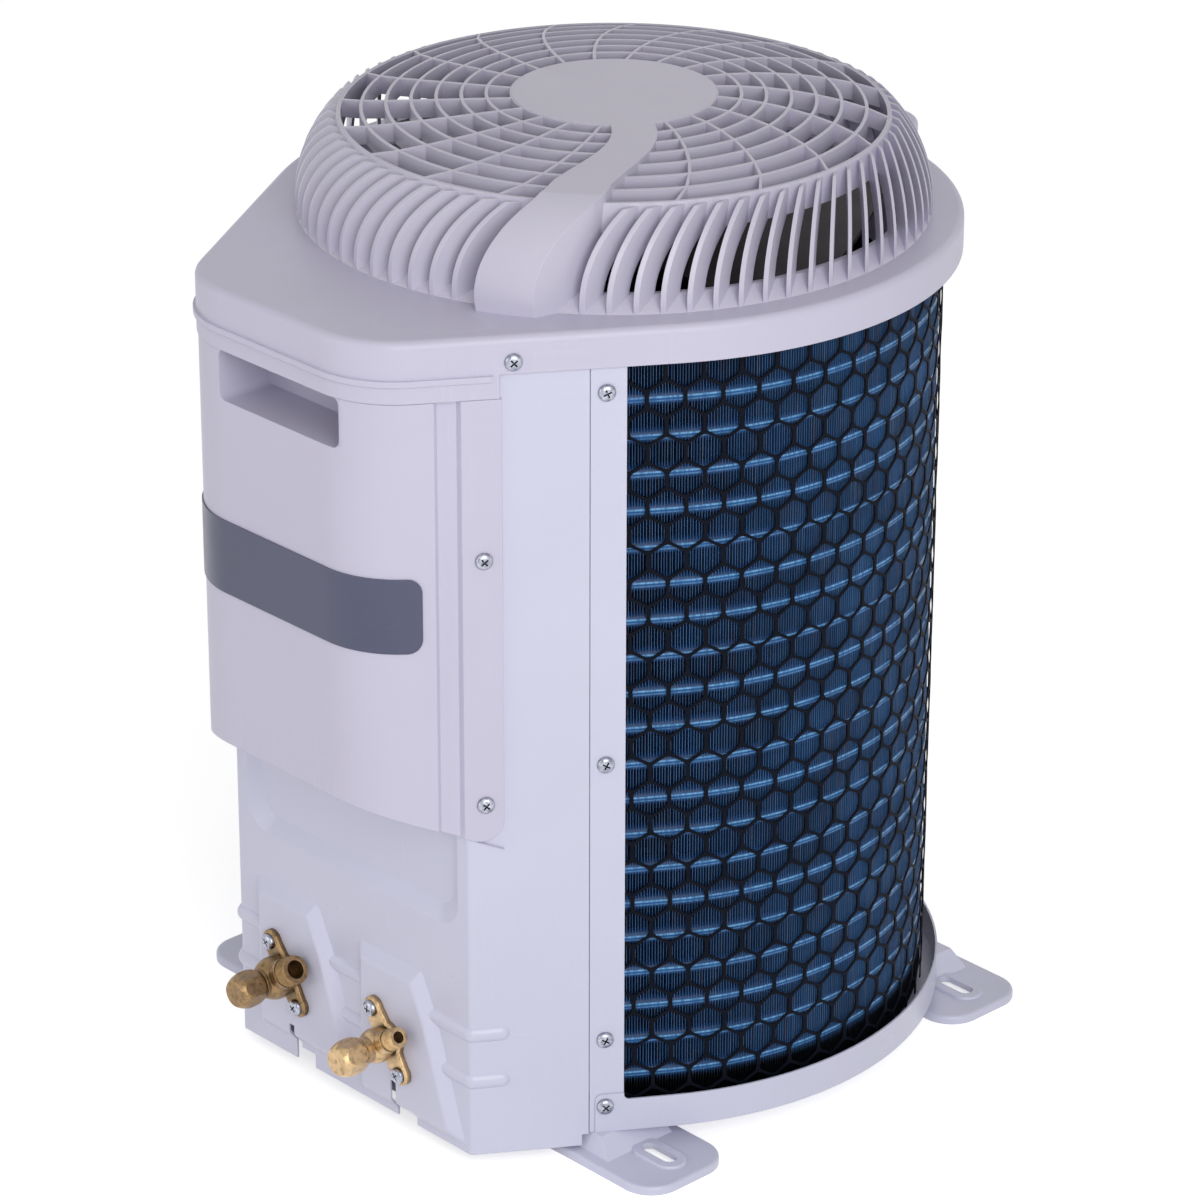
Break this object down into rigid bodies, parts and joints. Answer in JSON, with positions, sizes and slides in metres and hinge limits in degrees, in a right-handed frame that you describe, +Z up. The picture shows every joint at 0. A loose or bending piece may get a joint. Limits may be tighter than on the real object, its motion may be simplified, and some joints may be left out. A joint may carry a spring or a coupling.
{
  "type": "split air conditioner outdoor unit",
  "caption": "Barrel-shaped outdoor condensing unit with a top-discharge fan under a domed guard, a coil wrapped round the back, a flat service nose and slotted feet.",
  "frame": {"origin": "centre of the footprint's bounding box, on the floor under the feet", "axes": "+Z up, -Y towards the service nose, +X to the right of someone facing the nose"},
  "size_m": [0.38, 0.4702, 0.5455],
  "materials": {
    "grey_plastic": "fine satin moulding",
    "bare_plate": "dark slate, semi-gloss",
    "powder_coat": "light grey powder coat",
    "fan_plastic": "dark glass-filled plastic",
    "motor_paint": "black enamel",
    "bright_steel": "turned steel",
    "zinc_steel": "zinc plated",
    "galvanised": "galvanised sheet",
    "coil_fins": "blue coated fins",
    "coil_copper": "drawn copper, soft sheen",
    "black_net": "black polyethylene",
    "compressor_paint": "black enamel",
    "rubber": "moulded rubber",
    "valve_brass": "forged and turned brass",
    "capacitor_can": "drawn can",
    "block_plastic": "phenolic moulding"
  },
  "bodies": {
    "cabinet": {"top_cover": "grey_plastic", "fan_guard": "grey_plastic", "nose_cover": "grey_plastic", "cover_plate": "bare_plate", "nose_panel": "powder_coat", "edge_strip_right": "powder_coat", "edge_strip_left": "powder_coat", "base_pan": "powder_coat", "front_foot_rail": "powder_coat", "rear_foot_rail": "powder_coat", "fan_motor": "motor_paint", "motor_screws": "zinc_steel", "coil_fins": "coil_fins", "coil_bends_right": "coil_copper", "coil_bends_left": "coil_copper", "coil_end_plate_right": "galvanised", "coil_end_plate_left": "galvanised", "coil_net": "black_net", "compressor": "compressor_paint", "compressor_grommets": "rubber", "compressor_nuts": "zinc_steel", "compressor_terminal_cover": "block_plastic", "accumulator": "compressor_paint", "suction_pipe": "coil_copper", "discharge_pipe": "coil_copper", "liquid_line": "coil_copper", "gas_valve_body": "valve_brass", "liquid_valve_body": "valve_brass", "run_capacitor": "capacitor_can", "capacitor_clamp": "galvanised", "terminal_block": "block_plastic", "terminal_clamps": "valve_brass", "lid_screws": "zinc_steel", "cover_screws": "zinc_steel", "strip_screws": "zinc_steel", "rim_screws": "zinc_steel", "valve_screws": "zinc_steel", "electrical_screws": "zinc_steel", "rail_bolts": "zinc_steel"},
    "fan": {"fan_impeller": "fan_plastic", "motor_shaft": "bright_steel", "fan_nut": "zinc_steel"},
    "gas_stem": {"gas_valve_stem": "valve_brass"},
    "gas_cap": {"gas_valve_cap": "valve_brass"},
    "liquid_stem": {"liquid_valve_stem": "valve_brass"},
    "liquid_cap": {"liquid_valve_cap": "valve_brass"}
  },
  "joints": [
    {"name": "fan_spin", "type": "hinge", "parent": "cabinet", "child": "fan", "pos_m": [0, 0.00875, 0.47], "axis": [0, 0, 1], "continuous": true},
    {"name": "gas_stem_turn", "type": "hinge", "parent": "cabinet", "child": "gas_stem", "pos_m": [-0.0496, -0.21625, 0.064], "axis": [0, -1, 0], "range_deg": [0, 1440]},
    {"name": "gas_cap_off", "type": "slide", "parent": "cabinet", "child": "gas_cap", "axis": [0, -1, 0], "range_m": [0, 0.03]},
    {"name": "liquid_stem_turn", "type": "hinge", "parent": "cabinet", "child": "liquid_stem", "pos_m": [0.0368, -0.21625, 0.0568], "axis": [0, -1, 0], "range_deg": [0, 1440]},
    {"name": "liquid_cap_off", "type": "slide", "parent": "cabinet", "child": "liquid_cap", "axis": [0, -1, 0], "range_m": [0, 0.03]}
  ]
}
